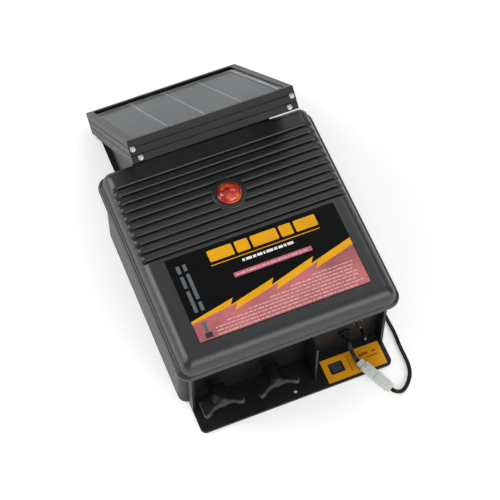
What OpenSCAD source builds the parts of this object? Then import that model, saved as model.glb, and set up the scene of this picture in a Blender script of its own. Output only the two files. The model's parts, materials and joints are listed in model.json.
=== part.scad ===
// Solar fence energizer: weatherproof case, terminal tray, tilted solar panel and plug-in lead.
// It lies on its back: +Z out of the front face, +Y towards the solar panel, +X to the right.
// The origin is on the resting surface, under the middle of the assembly.

/* [Case] */
// Width of the front cover
cover_w = 209; // [205:1:213]
// Height of the front cover
cover_h = 218; // [216:1:220]
// Height of the seam between housing and cover
seam_z = 78; // [76:1:82]
// Height of the flat front face
face_z = 103; // [100:1:106]
// Wall thickness of the mouldings
wall = 2.5; // [2:0.1:3]
// How far the cover overhangs the housing at each side
side_lap = 5; // [4:0.5:6]
// How far the cover overhangs the terminal wall
tray_lap = 18; // [16:1:20]
// How far the tray plate stands out below the cover
tray_out = 17; // [14:1:20]

/* [Ribs and lens] */
// Number of grooves across the face
groove_count = 10; // [6:1:10]
// Distance between grooves
groove_pitch = 8.75; // [8:0.25:9]
// Place of the lowest groove
groove_first = 111.5; // [110:0.5:113]
// Radius of the red lens
lens_r = 11.3; // [10:0.1:12]
// Height of the lens centre above the cover's lower edge
lens_y = 149; // [145:1:152]

/* [Labels] */
// Width of the face label
label_w = 160; // [150:1:162]
// Height of the face label
label_h = 86; // [80:1:88]

/* [Terminals and switch] */
// Place of the fence terminal across the tray
fence_x = -69; // [-70:1:-68]
// Place of the ground terminal across the tray
ground_x = -17; // [-19:1:-15]
// Height of both terminals
stud_z = 29; // [27:1:31]
// Radius of a terminal stud
stud_r = 3; // [2.5:0.1:3]
// Reach of a knob's wing from the stud
wing_reach = 19.5; // [17:0.5:20]
// Place of the toggle switch across the tray
switch_x = 70; // [68:1:72]
// Height of the toggle switch
switch_z = 41; // [39:1:44]
// Place of the lead's grommet across the tray
lead_x = 58; // [57:1:59]
// Height of the lead's grommet
lead_z = 26; // [25:1:27]

/* [Solar panel] */
// Width of the panel frame
panel_w = 155; // [150:1:158]
// Length of the panel frame
panel_l = 208; // [200:1:212]
// Depth of the panel frame
panel_t = 21; // [20:1:22]
// Tilt of the panel from the case's face
panel_tilt = 48; // [46:0.5:50]
// Height of the panel's upper front edge
panel_z = 170.6; // [170:0.1:174]
// Place of the panel's upper front edge
panel_y = 193; // [190:1:196]

/* [Hidden] */
$fn = 48;
eps = 0.01;

// Outline of the case, measured from the cover's lower edge.
case_x = cover_w / 2 - side_lap;
case_y0 = tray_lap;
case_y1 = cover_h - 6;
case_r = 8;
cover_r = 12;
flange_t = 3;
gasket_t = 1.2;
rim_z = seam_z + gasket_t;
shoulder_r = 12;
column_x = case_x - 10.5;
column_y = [case_y0 + 11, case_y1 - 11];
column_r = 6.5;
post_top = 12;
board_z = post_top;
board_t = 1.6;
board_top = board_z + board_t;
board_size = [150, 74];
board_y0 = 36;
plate_t = 3;
hang_y = [-10, 256];
hang_r = 1.7;
label_t = 0.3;

// The panel's own frame: x across, y along the slope, z out of the glass.
panel_far_y = panel_y + panel_l * cos(panel_tilt);
origin_y = (panel_far_y - tray_out) / 2;
rail_t = 1.8;
rail_lip = 6.5;
glass_t = 3.2;
glass_gap = 0.2;
shelf_z = -(rail_t + glass_t + 1);
under_y = panel_y - panel_t * sin(panel_tilt);
under_z = panel_z - panel_t * cos(panel_tilt);

// Bracket under the panel.
bracket_w = 144;
bracket_t = 2.5;
bracket_y1 = 306;
arm_x = 64.5;
arm_y = [218.5, 304];
arm_hole = [240, 12];
flange_s = [62, 186];
flange_screws = [80, 168];

// Battery and board.
battery_size = [106, 70, 47];
battery_y0 = 126;
foam_t = 2;
battery_z0 = wall + foam_t;

// Connector: it lies from its lead end to its far end on a slight slope.
plug_from = [63.2, -6.7, 8.4];
plug_to = [80, -41, 6];
plug_axis = (plug_to - plug_from) / norm(plug_to - plug_from);
plug_len = norm(plug_to - plug_from);
socket_len = 20;
plug_gap = 0.3;
shell_w = 8.6;
shell_h = 6.8;
nose_len = 11.7;
pin_gap = 3.2;

// Routes: round numbers along each lead, in millimetres from the cover's lower edge.
lead_r = 2;
supply_route = [[58, 19, 26], [58, 14, 26], [58, 10, 26], [58, 6.4, 25.1], [58.1, 3.9, 23.1],
                [58.2, 2.7, 21.4], [59.1, 1.3, 17.3], [60, -0.2, 13.2], [60.5, -1.2, 11.5],
                [61.5, -3.3, 9.4], [62.6, -5.5, 8.5], [63.11, -6.52, 8.41]];
solar_route = [[80.11, -41.22, 5.98], [80.79, -42.61, 5.89], [82.2, -44, 5.5],
               [84.3, -45.1, 4.8], [87.2, -45.6, 3.9], [90.2, -44.9, 3.1], [94, -42.4, 2.4],
               [97.6, -39, 2.1], [100.8, -35, 2.1], [103.4, -30, 2.1], [105, -23.4, 2.1],
               [105.4, -16, 2.1], [105.4, -8.8, 2.1], [105.6, -0.8, 2.1], [106.2, 7.1, 2.1],
               [106.3, 14.7, 2.1], [106, 22, 2.1], [105.6, 32, 2.1], [105, 44, 2.1], [104.6, 62, 2.1],
               [104.4, 82, 2.1], [104.4, 104, 2.1], [104.4, 126, 2.1], [104.4, 148, 2.1],
               [104.4, 170, 2.1], [104.2, 190, 2.1], [103, 206, 2.3], [99.4, 219, 3.2],
               [92.6, 229, 5.4], [84, 235, 8.8], [76, 238.2, 11.2], [69, 239.6, 12],
               [63, 240.2, 12.6], [58, 240.6, 15.2], [54.6, 241.4, 20], [53, 242.6, 26.6],
               [53, 244.6, 35], [54.6, 247, 44], [57, 249.6, 53], [58.8, 252.2, 61.4],
               [59, 254.8, 69.4], [56.6, 256.6, 76], [52.4, 257, 79.6], [47, 257, 80.1]];
wire_r = 0.9;
battery_route_a = [[60.15, 140, 42], [63.5, 140, 42.2], [69, 136.5, 41], [73, 129, 35.5],
                   [74, 119, 27.5], [71.5, 106, 20], [68.6, 96.5, board_top + 6],
                   [68, 94, board_top + 3], [68, 94, board_top + 0.2]];
battery_route_b = [[60.15, 182, 42], [63.5, 182, 42.4], [69, 180, 43.8], [74, 172, 43],
                   [78, 155, 40], [80, 135, 34], [78, 116, 24], [75.2, 102, board_top + 8],
                   [72.6, 93.5, board_top + 5], [72, 91, board_top + 2.6],
                   [72, 91, board_top + 0.2]];
output_route_a = [[-69, 22.2, 43.15], [-69, 22.3, 46], [-68.6, 25, 50.5], [-67, 30, 53.5],
                  [-62, 38, 52], [-56, 45, 45], [-52, 50.5, 38], [-51.1, 53.2, 36.6],
                  [-51, 54.8, 36.5]];
output_route_b = [[-17, 22.2, 43.15], [-17, 22.3, 46], [-18.2, 25.5, 50.5], [-22, 31, 53.5],
                  [-28, 38, 52], [-35, 45, 46], [-39, 50.5, 39], [-39.9, 53.2, 37.6],
                  [-40, 54.8, 37.5]];
switch_route_a = [[67, 36.2, 41], [67, 39.5, 40.9], [66.8, 44, 38.5], [66, 50, 32],
                  [65.2, 56, 23], [65, 58.8, board_top + 5], [65, 59, board_top + 2.5],
                  [65, 59, board_top + 0.2]];
switch_route_b = [[73, 36.2, 41], [73, 39.5, 40.9], [73, 44, 38.5], [72.4, 50, 32],
                  [71.3, 56, 23], [71, 58.8, board_top + 5], [71, 59, board_top + 2.5],
                  [71, 59, board_top + 0.2]];
inner_lead_route = [[58, 20.5, 26], [58, 26, 25], [57, 33, 21], [55, 40, 17],
                    [54.2, 44, board_top + 5], [54, 45, board_top + 2.6],
                    [54, 45, board_top + 0.2]];
lamp_route_a = [[-2, 149, 86], [-2, 146, 78], [-2, 138, 68], [-2, 126, 62], [-3, 114, 52],
                [-4, 107, 34], [-4, 104.3, 20], [-4, 104, board_top + 3],
                [-4, 104, board_top + 0.2]];
lamp_route_b = [[2, 149, 86], [2, 146, 78], [2, 138, 68], [2, 126, 62], [3, 114, 52],
                [4, 107, 34], [4, 104.3, 20], [4, 104, board_top + 3], [4, 104, board_top + 0.2]];

// ---------- shared shapes ----------

module place() {
  translate([0, -origin_y, 0]) children();
}

module on_panel() {
  translate([0, panel_y, panel_z]) rotate([-panel_tilt, 0, 0]) children();
}

// A rectangle with round corners, given by its lowest and highest corners.
module round_rect(low, high, r) {
  translate([low.x + r, low.y]) square([high.x - low.x - 2 * r, high.y - low.y]);
  translate([low.x, low.y + r]) square([high.x - low.x, high.y - low.y - 2 * r]);
  for (x = [low.x + r, high.x - r], y = [low.y + r, high.y - r]) translate([x, y]) circle(r);
}

module cover_outline(inset) {
  round_rect([-cover_w / 2 + inset, inset], [cover_w / 2 - inset, cover_h - inset], cover_r - inset);
}

module case_outline(inset) {
  round_rect([-case_x + inset, case_y0 + inset], [case_x - inset, case_y1 - inset], case_r - inset);
}

function arc(c, r, a0, a1, steps = 8) =
  [for (i = [0:steps]) let (a = a0 + (a1 - a0) * i / steps) [c.x + r * cos(a), c.y + r * sin(a)]];

// Section through the dome of the cover, between two side walls.
module dome_section(low, high, top, r) {
  polygon(concat([[low, seam_z], [high, seam_z]],
                 arc([high - r, top - r], r, 0, 90), arc([low + r, top - r], r, 90, 180)));
}

// The dome: the two sections cross, so its corners are mitred.
module dome(side_in, end_in, thick) {
  intersection() {
    translate([0, cover_h + 1, 0]) rotate([90, 0, 0]) linear_extrude(cover_h + 2)
      dome_section(-cover_w / 2 + side_in + thick, cover_w / 2 - side_in - thick,
                   face_z - thick, shoulder_r - thick);
    translate([-cover_w / 2, 0, 0]) rotate([90, 0, 90]) linear_extrude(cover_w)
      dome_section(end_in + thick, cover_h - end_in - thick, face_z - thick, shoulder_r - thick);
    translate([0, 0, seam_z - 1]) linear_extrude(face_z) cover_outline(1.5 + thick);
  }
}

// Something that stands along -Y at the terminal wall: x and z place it, y0 is its inner end.
module along_tray(x, z, y0, y1) {
  translate([x, y0, z]) rotate([90, 0, 0]) linear_extrude(y0 - y1) children();
}

module hexagon(flats) {
  circle(flats / sqrt(3), $fn = 6);
}

module ring(outer, inner) {
  difference() {
    circle(outer);
    circle(inner);
  }
}

function unit(v) = v / norm(v);
function heading(p, i) =
  i == 0 ? unit(p[1] - p[0]) :
  i == len(p) - 1 ? unit(p[i] - p[i - 1]) :
  unit(unit(p[i + 1] - p[i]) + unit(p[i] - p[i - 1]));
function across(n, t) = unit(n - (n * t) * t);
function side_vectors(p, i, n) =
  i == len(p) ? [] :
  let (m = across(n, heading(p, i))) concat([m], side_vectors(p, i + 1, m));
function between(a, b, c, d, t) =
  0.5 * ((2 * b) + (c - a) * t + (2 * a - 5 * b + 4 * c - d) * t * t
         + (3 * b - a - 3 * c + d) * t * t * t);
function smooth_route(p, steps) = concat(
  [for (i = [0:len(p) - 2], k = [0:steps - 1])
    between(p[max(i - 1, 0)], p[i], p[i + 1], p[min(i + 2, len(p) - 1)], k / steps)],
  [p[len(p) - 1]]);

// A round tube swept along a route's own points.
module tube(route, r, sides = 8, steps = 2) {
  p = smooth_route(route, steps);
  t0 = heading(p, 0);
  n = side_vectors(p, 0, abs(t0.z) < 0.9 ? [0, 0, 1] : [1, 0, 0]);
  rings = [for (i = [0:len(p) - 1])
    let (t = heading(p, i), b = cross(t, n[i]))
    [for (j = [0:sides - 1]) p[i] + r * (cos(360 * j / sides) * n[i] + sin(360 * j / sides) * b)]];
  last = (len(p) - 1) * sides;
  polyhedron(
    [for (ring_points = rings, q = ring_points) q],
    concat([[for (j = [0:sides - 1]) j]],
           [for (i = [0:len(p) - 2], j = [0:sides - 1])
             let (a = i * sides + j, b = i * sides + (j + 1) % sides)
             [a, a + sides, b + sides, b]],
           [[for (j = [sides - 1:-1:0]) last + j]]));
}

// A screw that points down: its head stands on the origin.
module screw(head_r, head_h, shank_r, length) {
  cylinder(r = head_r, h = head_h);
  translate([0, 0, -length]) cylinder(r = shank_r, h = length + eps);
}

// ---------- case ----------

module tray_plate() {
  linear_extrude(plate_t) difference() {
    union() {
      round_rect([-92.5, -tray_out], [92.5, case_y0 + 10], 5);
      translate([-92.5, 0]) square([185, case_y0 + 2]);
    }
    translate([0, hang_y[0]]) circle(hang_r);
  }
}

module tray_walls() {
  for (x = [-92.5, 90]) translate([x, 6.5, plate_t - eps])
    cube([2.5, case_y0 - 6.4, seam_z - flange_t - plate_t + 2 * eps]);
  translate([19.5, -7, plate_t - eps]) cube([2, case_y0 + 7.1, 62]);
}

module rear_housing() {
  color([0.06, 0.06, 0.065]) place() difference() {
    union() {
      difference() {
        union() {
          linear_extrude(seam_z) case_outline(0);
          translate([0, 0, seam_z - flange_t]) linear_extrude(flange_t) cover_outline(2.4);
        }
        translate([0, 0, wall]) linear_extrude(seam_z) case_outline(wall);
      }
      tray_plate();
      tray_walls();
      for (x = [-column_x, column_x], y = column_y) translate([x, y, 0])
        cylinder(r = column_r, h = seam_z);
      for (x = [-70, 70], y = [board_y0 + 5, board_y0 + 69]) translate([x, y, 1])
        cylinder(r = 3.5, h = post_top - 1);
      for (y = [battery_y0 - 6.5, battery_y0 + 76.5]) translate([0, y, 1])
        cylinder(r = 4, h = 13);
      for (x = [-50, 50], z = [25, 60]) translate([x, case_y1 - 9, z]) rotate([-90, 0, 0])
        cylinder(r = 5, h = 8);
    }
    for (x = [-column_x, column_x], y = column_y) translate([x, y, 0]) {
      translate([0, 0, -1]) cylinder(r = 4.2, h = 61);
      cylinder(r = 2.2, h = seam_z + 1);
    }
    for (x = [-70, 70], y = [board_y0 + 5, board_y0 + 69]) translate([x, y, 4])
      cylinder(r = 1.3, h = 10);
    for (y = [battery_y0 - 6.5, battery_y0 + 76.5]) translate([0, y, 5])
      cylinder(r = 1.5, h = 12);
    for (x = [-50, 50], z = [25, 60]) translate([x, case_y1 - 7, z]) rotate([-90, 0, 0])
      cylinder(r = 1.7, h = 10);
    for (x = [fence_x, ground_x]) along_tray(x, stud_z, case_y0 + 5, case_y0 - 2)
      circle(stud_r + 0.1);
    along_tray(switch_x, switch_z, case_y0 + 5, case_y0 - 2) circle(3.3);
    along_tray(lead_x, lead_z, case_y0 + 5, case_y0 - 2) circle(4.5);
  }
}

// One groove across the face, broken where the smooth boss round the lens stands.
module groove(y) {
  half_w = 1.7;
  depth = 1.9;
  reach = cover_w / 2 - shoulder_r + 1;
  miss = abs(y - lens_y);
  boss_r = lens_r + 5;
  stop = miss < boss_r ? sqrt(boss_r * boss_r - miss * miss) : 0;
  for (side = [-1, 1]) mirror([side < 0 ? 1 : 0, 0, 0])
    translate([stop, y, face_z]) rotate([90, 0, 90]) linear_extrude(reach - stop)
      polygon([[-half_w, 0.5], [-half_w, 0], [0, -depth], [half_w, 0], [half_w, 0.5]]);
}

module front_cover() {
  color([0.07, 0.07, 0.075]) place() difference() {
    union() {
      difference() {
        union() {
          translate([0, 0, rim_z]) linear_extrude(4.6) cover_outline(0);
          dome(3.5, 2, 0);
        }
        dome(3.5, 2, 3);
        translate([0, 0, seam_z - 1]) linear_extrude(gasket_t + 1) cover_outline(-1);
      }
      for (x = [-column_x, column_x], y = column_y) translate([x, y, rim_z])
        cylinder(r = 5.5, h = face_z - 4 - rim_z);
    }
    for (x = [-column_x, column_x], y = column_y) translate([x, y, seam_z])
      cylinder(r = 2, h = 16);
    for (i = [0:groove_count - 1]) groove(groove_first + i * groove_pitch);
    translate([0, lens_y, face_z - 10]) cylinder(r = lens_r - 1.8, h = 20);
  }
}

module cover_gasket() {
  color([0.03, 0.03, 0.03]) place() translate([0, 0, seam_z]) linear_extrude(gasket_t)
    difference() {
      cover_outline(2.8);
      cover_outline(4.9);
    }
}

module cover_screws() {
  color("silver") place() for (x = [-column_x, column_x], y = column_y) translate([x, y, 60])
    mirror([0, 0, 1]) screw(3.8, 3, 2, 30);
}

module face_label() {
  color([0.75, 0.32, 0.38]) place()
    translate([1.6 - label_w / 2, 63.2 - label_h / 2, face_z]) cube([label_w, label_h, label_t]);
}

// ---------- signal lamp ----------

module signal_lens() {
  neck = lens_r - 1.9;
  color([0.8, 0.1, 0.08]) place() translate([0, lens_y, face_z]) rotate_extrude()
    polygon(concat([[neck - 1.4, -9], [neck, -9], [neck, 0], [lens_r, 0]],
                   arc([lens_r - 1.5, 1], 1.5, 0, 50, 3),
                   [[8.6, 4.2], [6, 5.4], [3, 6.1], [0, 6.3], [0, 4.6], [3, 4.4], [6, 3.4],
                    [neck - 1.4, 1]]));
}

module signal_lamp() {
  color([0.9, 0.75, 0.6]) place() translate([0, lens_y, face_z]) {
    translate([0, 0, -17]) cylinder(r = 7.9, h = 8);
    translate([0, 0, -9 - eps]) cylinder(r = 3, h = 7);
    translate([0, 0, -2]) sphere(3);
  }
}

module lamp_wires() {
  color([0.7, 0.1, 0.1]) place() {
    tube(lamp_route_a, wire_r);
    tube(lamp_route_b, wire_r);
  }
}

// ---------- circuit ----------

module circuit_board() {
  color([0.1, 0.35, 0.2]) place() translate([0, 0, board_z]) linear_extrude(board_t)
    difference() {
      translate([-board_size.x / 2, board_y0]) square(board_size);
      for (x = [-70, 70], y = [board_y0 + 5, board_y0 + 69]) translate([x, y]) circle(1.6);
    }
}

module board_screws() {
  color("silver") place() for (x = [-70, 70], y = [board_y0 + 5, board_y0 + 69])
    translate([x, y, board_top]) screw(2.8, 1.8, 1.3, 8);
}

module storage_capacitor() {
  color([0.15, 0.2, 0.45]) place() translate([30, 90, board_top + 16]) rotate([0, 90, 0]) {
    cylinder(r = 16, h = 30);
    translate([0, 0, -1.5]) cylinder(r = 14.5, h = 33);
  }
}

// Laminated core with two windows; the winding fills them.
core_size = [46, 30, 40];
core_at = [-45, 76, board_top];
window = [9, 24];
leg = 14;

module transformer_core() {
  color([0.45, 0.45, 0.47]) place() translate(core_at) difference() {
    translate([-core_size.x / 2, -core_size.y / 2, 0]) cube(core_size);
    for (x = [-leg / 2 - window.x, leg / 2]) translate([x, -20, 8]) cube([window.x, 40, window.y]);
  }
}

module transformer_winding() {
  color([0.6, 0.35, 0.12]) place() translate(core_at) difference() {
    translate([-leg / 2 - window.x, -21, 8]) cube([leg + 2 * window.x, 42, window.y]);
    translate([-leg / 2, -core_size.y / 2, 7]) cube([leg, core_size.y, window.y + 2]);
  }
}

module heat_sink() {
  color("silver") place() translate([6, 50, board_top]) {
    cube([30, 3, 26]);
    for (i = [0:5]) translate([i * 5.6, 3 - eps, 0]) cube([2, 9, 26]);
  }
}

module thyristor() {
  color([0.1, 0.1, 0.1]) place() translate([16, 45.5, board_top]) {
    translate([0, 0, 4]) cube([10, 4.4, 15]);
    for (x = [1.6, 4.6, 7.6]) translate([x, 2, 0]) cube([0.8, 0.6, 4 + eps]);
  }
}

module board_parts() {
  color([0.75, 0.68, 0.5]) place() {
    translate([-8, 84, board_top]) cube([16, 12, 14]);
    for (i = [0:4]) translate([-14 + i * 7, 66, board_top + 2]) rotate([-90, 0, 0])
      cylinder(r = 1.8, h = 9);
    for (x = [46, 57]) translate([x, 58, board_top]) cylinder(r = 4.5, h = 13);
    translate([62, 46, board_top]) cube([12, 9, 8]);
  }
}

// ---------- battery ----------

module battery() {
  color([0.15, 0.15, 0.17]) place()
    translate([-battery_size.x / 2, battery_y0, battery_z0]) cube(battery_size);
}

module battery_tabs() {
  color([0.8, 0.75, 0.5]) place() for (y = [140, 182])
    translate([battery_size.x / 2, y - 3, 41.6]) cube([7, 6, 0.8]);
}

module battery_strap() {
  top = battery_z0 + battery_size.z;
  low = battery_y0;
  high = battery_y0 + battery_size.y;
  color([0.1, 0.1, 0.1]) place() translate([-8, 0, 0]) difference() {
    union() {
      translate([0, low - 1.5, top]) cube([16, high - low + 3, 1.5]);
      for (y = [low - 1.5, high]) translate([0, y, 14]) cube([16, 1.5, top - 14 + eps]);
      translate([0, low - 12, 14]) cube([16, 11, 1.5]);
      translate([0, high + 1, 14]) cube([16, 11, 1.5]);
    }
    for (y = [low - 6.5, high + 6.5]) translate([8, y, 10]) cylinder(r = 1.7, h = 10);
  }
}

module strap_screws() {
  color("silver") place() for (y = [battery_y0 - 6.5, battery_y0 + 76.5])
    translate([0, y, 15.5]) screw(3.2, 2, 1.5, 9);
}

module battery_foam() {
  color([0.3, 0.3, 0.32]) place()
    translate([-46, battery_y0 + 5, wall]) cube([92, 60, foam_t]);
}

module battery_wires() {
  color([0.6, 0.08, 0.08]) place() {
    tube(battery_route_a, wire_r);
    tube(battery_route_b, wire_r);
  }
}

module output_wires() {
  color([0.85, 0.8, 0.2]) place() {
    tube(output_route_a, 1.3);
    tube(output_route_b, 1.3);
  }
}

module switch_wires() {
  color([0.1, 0.1, 0.5]) place() {
    tube(switch_route_a, wire_r);
    tube(switch_route_b, wire_r);
    tube(inner_lead_route, wire_r);
  }
}

// ---------- terminals ----------

module terminal_stud(x) {
  color([0.78, 0.68, 0.35]) place() along_tray(x, stud_z, 31, -4) circle(stud_r);
}

module fence_stud() terminal_stud(fence_x);

module ground_stud() terminal_stud(ground_x);

module stud_nuts() {
  color("silver") place() for (x = [fence_x, ground_x]) {
    along_tray(x, stud_z, case_y0 + 9.7, case_y0 + 4.7) difference() {
      hexagon(10);
      circle(stud_r);
    }
    along_tray(x, stud_z, case_y0 - 1.2, case_y0 - 6.2) difference() {
      hexagon(10);
      circle(stud_r);
    }
  }
}

module stud_washers() {
  color("silver") place() for (x = [fence_x, ground_x]) {
    along_tray(x, stud_z, case_y0 + 3.7, case_y0 + 2.5) ring(6, stud_r);
    along_tray(x, stud_z, case_y0, case_y0 - 1.2) ring(6, stud_r);
  }
}

module ring_terminals() {
  color([0.8, 0.75, 0.6]) place() for (x = [fence_x, ground_x])
    along_tray(x, stud_z, case_y0 + 4.7, case_y0 + 3.7) difference() {
      union() {
        circle(5.4);
        translate([-2, 0]) square([4, 14]);
      }
      circle(stud_r);
    }
}

module clamp_washer(x) {
  color("silver") place() along_tray(x, stud_z, 11.5, 10.3) ring(7.5, stud_r + 0.06);
}

module fence_washer() clamp_washer(fence_x);

module ground_washer() clamp_washer(ground_x);

// Wing knob: hub, closed front and two wings that sweep forward.
knob_back = 10;
knob_front = -9;
hub_r = 8;
insert_r = 4.6;
insert_front = -1;
wing_turn = 8;

module wing_knob(x) {
  color([0.05, 0.05, 0.05]) place() difference() {
    union() {
      along_tray(x, stud_z, knob_back, knob_front) circle(hub_r);
      translate([x, 0, stud_z]) rotate([0, -wing_turn, 0]) for (m = [0, 1]) mirror([m, 0, 0])
        translate([0, 0, -4]) linear_extrude(8)
          polygon([[4, 7], [9, 5.5], [wing_reach - 1.5, 1], [wing_reach, -1],
                   [wing_reach, -12], [wing_reach - 2, -14], [15, -13.4], [9, -9.5], [4, -8.5]]);
    }
    along_tray(x, stud_z, knob_back + 1, insert_front) circle(insert_r);
    along_tray(x, stud_z, knob_back + 1, -6) circle(stud_r + 0.3);
  }
}

module knob_insert(x) {
  color([0.8, 0.68, 0.35]) place() along_tray(x, stud_z, knob_back, insert_front)
    ring(insert_r, stud_r + 0.06);
}

module fence_knob() wing_knob(fence_x);

module ground_knob() wing_knob(ground_x);

module fence_insert() knob_insert(fence_x);

module ground_insert() knob_insert(ground_x);

// ---------- toggle switch ----------

bushing_front = 9.5;
lever_pivot_y = 12;
lever_tilt = 10;

module switch_body() {
  color([0.5, 0.42, 0.28]) place() {
    translate([switch_x - 6.5, case_y0 + 2.5, switch_z - 6.5]) cube([13, 12, 13]);
    for (x = [-3, 3]) translate([switch_x + x - 0.4, case_y0 + 14, switch_z - 1.5]) cube([0.8, 4, 3]);
    along_tray(switch_x, switch_z, case_y0 + 2.5 + eps, bushing_front) ring(3.1, 2.3);
  }
}

module switch_nut() {
  color("silver") place() along_tray(switch_x, switch_z, case_y0, case_y0 - 2.2) difference() {
    hexagon(8);
    circle(3.1);
  }
}

module switch_lever() {
  color([0.85, 0.8, 0.65]) place() {
    translate([switch_x, lever_pivot_y, switch_z]) sphere(2.2);
    translate([switch_x, lever_pivot_y, switch_z]) rotate([90 + lever_tilt, 0, 0]) {
      cylinder(r1 = 1.1, r2 = 1.5, h = 12.4);
      translate([0, 0, 12.4]) sphere(1.5);
    }
  }
}

module control_label() {
  color([0.93, 0.62, 0.12]) place() translate([31, -14.8, plate_t]) cube([57.2, 23.6, label_t]);
}

// ---------- leads and connector ----------

module lead_grommet() {
  color([0.05, 0.05, 0.05]) place() {
    along_tray(lead_x, lead_z, case_y0, case_y0 - 2) ring(6, lead_r);
    along_tray(lead_x, lead_z, case_y0 + 2.5, case_y0 - eps) ring(4.5, lead_r);
    translate([lead_x, case_y0 - 2 + eps, lead_z]) rotate([90, 0, 0]) difference() {
      cylinder(r1 = 4.2, r2 = 3, h = 5);
      translate([0, 0, -1]) cylinder(r = lead_r, h = 7);
    }
  }
}

module supply_lead() {
  color([0.08, 0.08, 0.08]) place() tube(supply_route, lead_r);
}

module solar_lead() {
  color([0.08, 0.08, 0.08]) place() tube(solar_route, lead_r, steps = 2);
}

// The connector's own frame: z runs from the lead end to the far end, x lies flat.
module on_connector() {
  yaw = atan2(plug_axis.y, plug_axis.x);
  pitch = acos(plug_axis.z);
  translate(plug_from) rotate([0, pitch, yaw]) rotate([0, 0, 90]) children();
}

module flat_box(w, h, z0, z1) {
  translate([-w / 2, -h / 2, z0]) cube([w, h, z1 - z0]);
}

module connector_socket() {
  color([0.9, 0.9, 0.86]) place() on_connector() difference() {
    union() {
      flat_box(shell_w, shell_h, 0, socket_len);
      translate([-2, shell_h / 2 - eps, 6]) cube([4, 0.8, 10]);
    }
    flat_box(shell_w - 2, shell_h - 2, socket_len - nose_len - 0.3, socket_len + 1);
    for (x = [-pin_gap / 2, pin_gap / 2]) translate([x, 0, 2]) cylinder(r = 1, h = 10);
  }
}

module socket_contacts() {
  color([0.8, 0.7, 0.4]) place() on_connector() for (x = [-pin_gap / 2, pin_gap / 2])
    translate([x, 0, 2]) difference() {
      cylinder(r = 1, h = 17);
      translate([0, 0, 6]) cylinder(r = 0.75, h = 12);
    }
}

module connector_plug() {
  start = socket_len + plug_gap;
  color([0.92, 0.92, 0.88]) place() on_connector() difference() {
    union() {
      flat_box(shell_w, shell_h, start, plug_len);
      flat_box(shell_w - 2.6, shell_h - 2.6, start - nose_len, start + 1);
    }
    for (x = [-pin_gap / 2, pin_gap / 2]) translate([x, 0, start - nose_len - 1])
      cylinder(r = 1.15, h = nose_len + 4);
  }
}

module plug_pins() {
  color([0.8, 0.7, 0.4]) place() on_connector() for (x = [-pin_gap / 2, pin_gap / 2]) {
    translate([x, 0, socket_len - 9]) cylinder(r = 0.6, h = 12);
    translate([x, 0, socket_len + 1.3]) cylinder(r = 1.1, h = 1.7);
  }
}

// ---------- bracket ----------

function under_at(y) = under_z - (y - under_y) * tan(panel_tilt);

module bracket_plate() {
  color([0.04, 0.04, 0.04]) place() difference() {
    union() {
      translate([-bracket_w / 2, case_y1, 0]) cube([bracket_w, bracket_y1 - case_y1, bracket_t]);
      translate([-bracket_w / 2, case_y1, 0]) cube([bracket_w, bracket_t, 70]);
    }
    translate([0, hang_y[1], -1]) cylinder(r = hang_r, h = 5);
    for (x = [-50, 50], z = [25, 60]) translate([x, case_y1 - 1, z]) rotate([-90, 0, 0])
      cylinder(r = 2.2, h = 5);
    for (x = [-57, 57], y = [230, 290]) translate([x, y, -1]) cylinder(r = 1.6, h = 5);
  }
}

// Right-hand arm; the left one is its mirror image without the lead's hole.
module bracket_arm(hole) {
  difference() {
    union() {
      translate([arm_x, 0, 0]) rotate([90, 0, 90]) linear_extrude(bracket_t)
        polygon([[arm_y[0], bracket_t], [arm_y[1], bracket_t], [arm_y[1], under_at(arm_y[1])],
                 [arm_y[0], under_at(arm_y[0])]]);
      translate([arm_x - 13, 222, bracket_t]) cube([14, 76, 2]);
      on_panel() translate([arm_x, flange_s[0], -panel_t - 2])
        cube([12.5, flange_s[1] - flange_s[0], 2]);
    }
    for (y = [230, 290]) translate([57, y, 0]) cylinder(r = 1.6, h = 8);
    on_panel() for (s = flange_screws) translate([72, s, -panel_t - 4]) cylinder(r = 1.6, h = 6);
    if (hole) translate([arm_x - 2, arm_hole[0], arm_hole[1]]) rotate([0, 90, 0])
      cylinder(r = 5.5, h = 8);
  }
}

module arm_grommet() {
  color([0.03, 0.03, 0.03]) place() translate([arm_x, arm_hole[0], arm_hole[1]])
    rotate([0, 90, 0]) difference() {
      union() {
        translate([0, 0, -1.5]) cylinder(r = 7, h = 1.5);
        translate([0, 0, -eps]) cylinder(r = 5.5, h = bracket_t + 2 * eps);
        translate([0, 0, bracket_t]) cylinder(r = 7, h = 1.5);
      }
      translate([0, 0, -3]) cylinder(r = lead_r + 0.6, h = 9);
    }
}

module bracket_arm_right() {
  color([0.04, 0.04, 0.04]) place() bracket_arm(true);
}

module bracket_arm_left() {
  color([0.04, 0.04, 0.04]) place() mirror([1, 0, 0]) bracket_arm(false);
}

module bracket_screws() {
  color("silver") place() {
    for (x = [-50, 50], z = [25, 60]) translate([x, case_y1 + bracket_t, z]) rotate([-90, 0, 0])
      screw(4, 2.4, 1.7, 8.5);
    for (x = [-57, 57], y = [230, 290]) translate([x, y, bracket_t + 2]) screw(3, 1.6, 1.6, 4.2);
    on_panel() for (x = [-72, 72], s = flange_screws) translate([x, s, -panel_t - 2])
      mirror([0, 0, 1]) screw(3, 1.6, 1.6, 3.3);
  }
}

// ---------- solar panel ----------

// Section of a rail with its outer face on x = 0 and its top on y = 0.
module rail_section(depth) {
  polygon([[0, 0], [rail_lip, 0], [rail_lip, -rail_t], [rail_t, -rail_t], [rail_t, shelf_z],
           [rail_lip, shelf_z], [rail_lip, shelf_z - rail_t], [rail_t, shelf_z - rail_t],
           [rail_t, -depth + rail_t], [11, -depth + rail_t], [11, -depth], [0, -depth],
           [0, -14.6], [0.7, -14.3], [0.7, -13.7], [0, -13.4],
           [0, -7.6], [0.7, -7.3], [0.7, -6.7], [0, -6.4]]);
}

screw_ports = [[3.4, -8.4], [8, -17.4]];

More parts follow.
